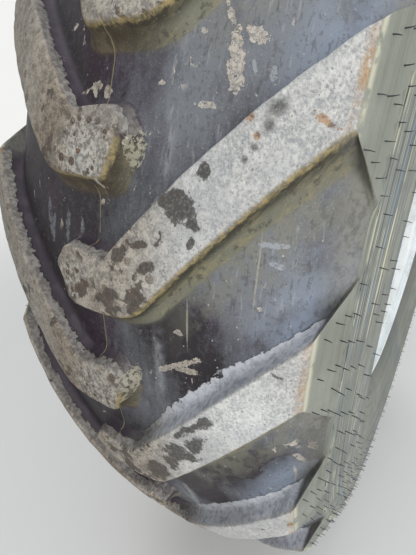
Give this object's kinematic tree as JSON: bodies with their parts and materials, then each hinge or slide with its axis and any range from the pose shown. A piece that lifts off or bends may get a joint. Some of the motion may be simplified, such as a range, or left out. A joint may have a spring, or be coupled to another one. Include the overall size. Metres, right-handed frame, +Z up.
{
  "type": "telehandler wheel",
  "caption": "Lug tyre on a white welded drop centre rim, with a dished disc that bolts to a telehandler's hub.",
  "frame": {"origin": "centre of the pilot bore, on the disc's mounting face", "axes": "+Y points along the axle to the hub, -Y outboard; +Z up; -X is the machine's forward direction"},
  "size_m": [1.2582, 0.41, 1.257],
  "materials": {
    "tyre_rubber": "worn rubber with dried mud",
    "white_paint": "semi-gloss enamel",
    "valve_brass": "dull brass",
    "black_cap": "matt"
  },
  "bodies": {
    "root": {"tyre": "tyre_rubber", "rim": "white_paint", "wheel_disc": "white_paint", "valve_stem": "valve_brass", "valve_nut": "valve_brass", "valve_cap": "black_cap"}
  },
  "joints": []
}
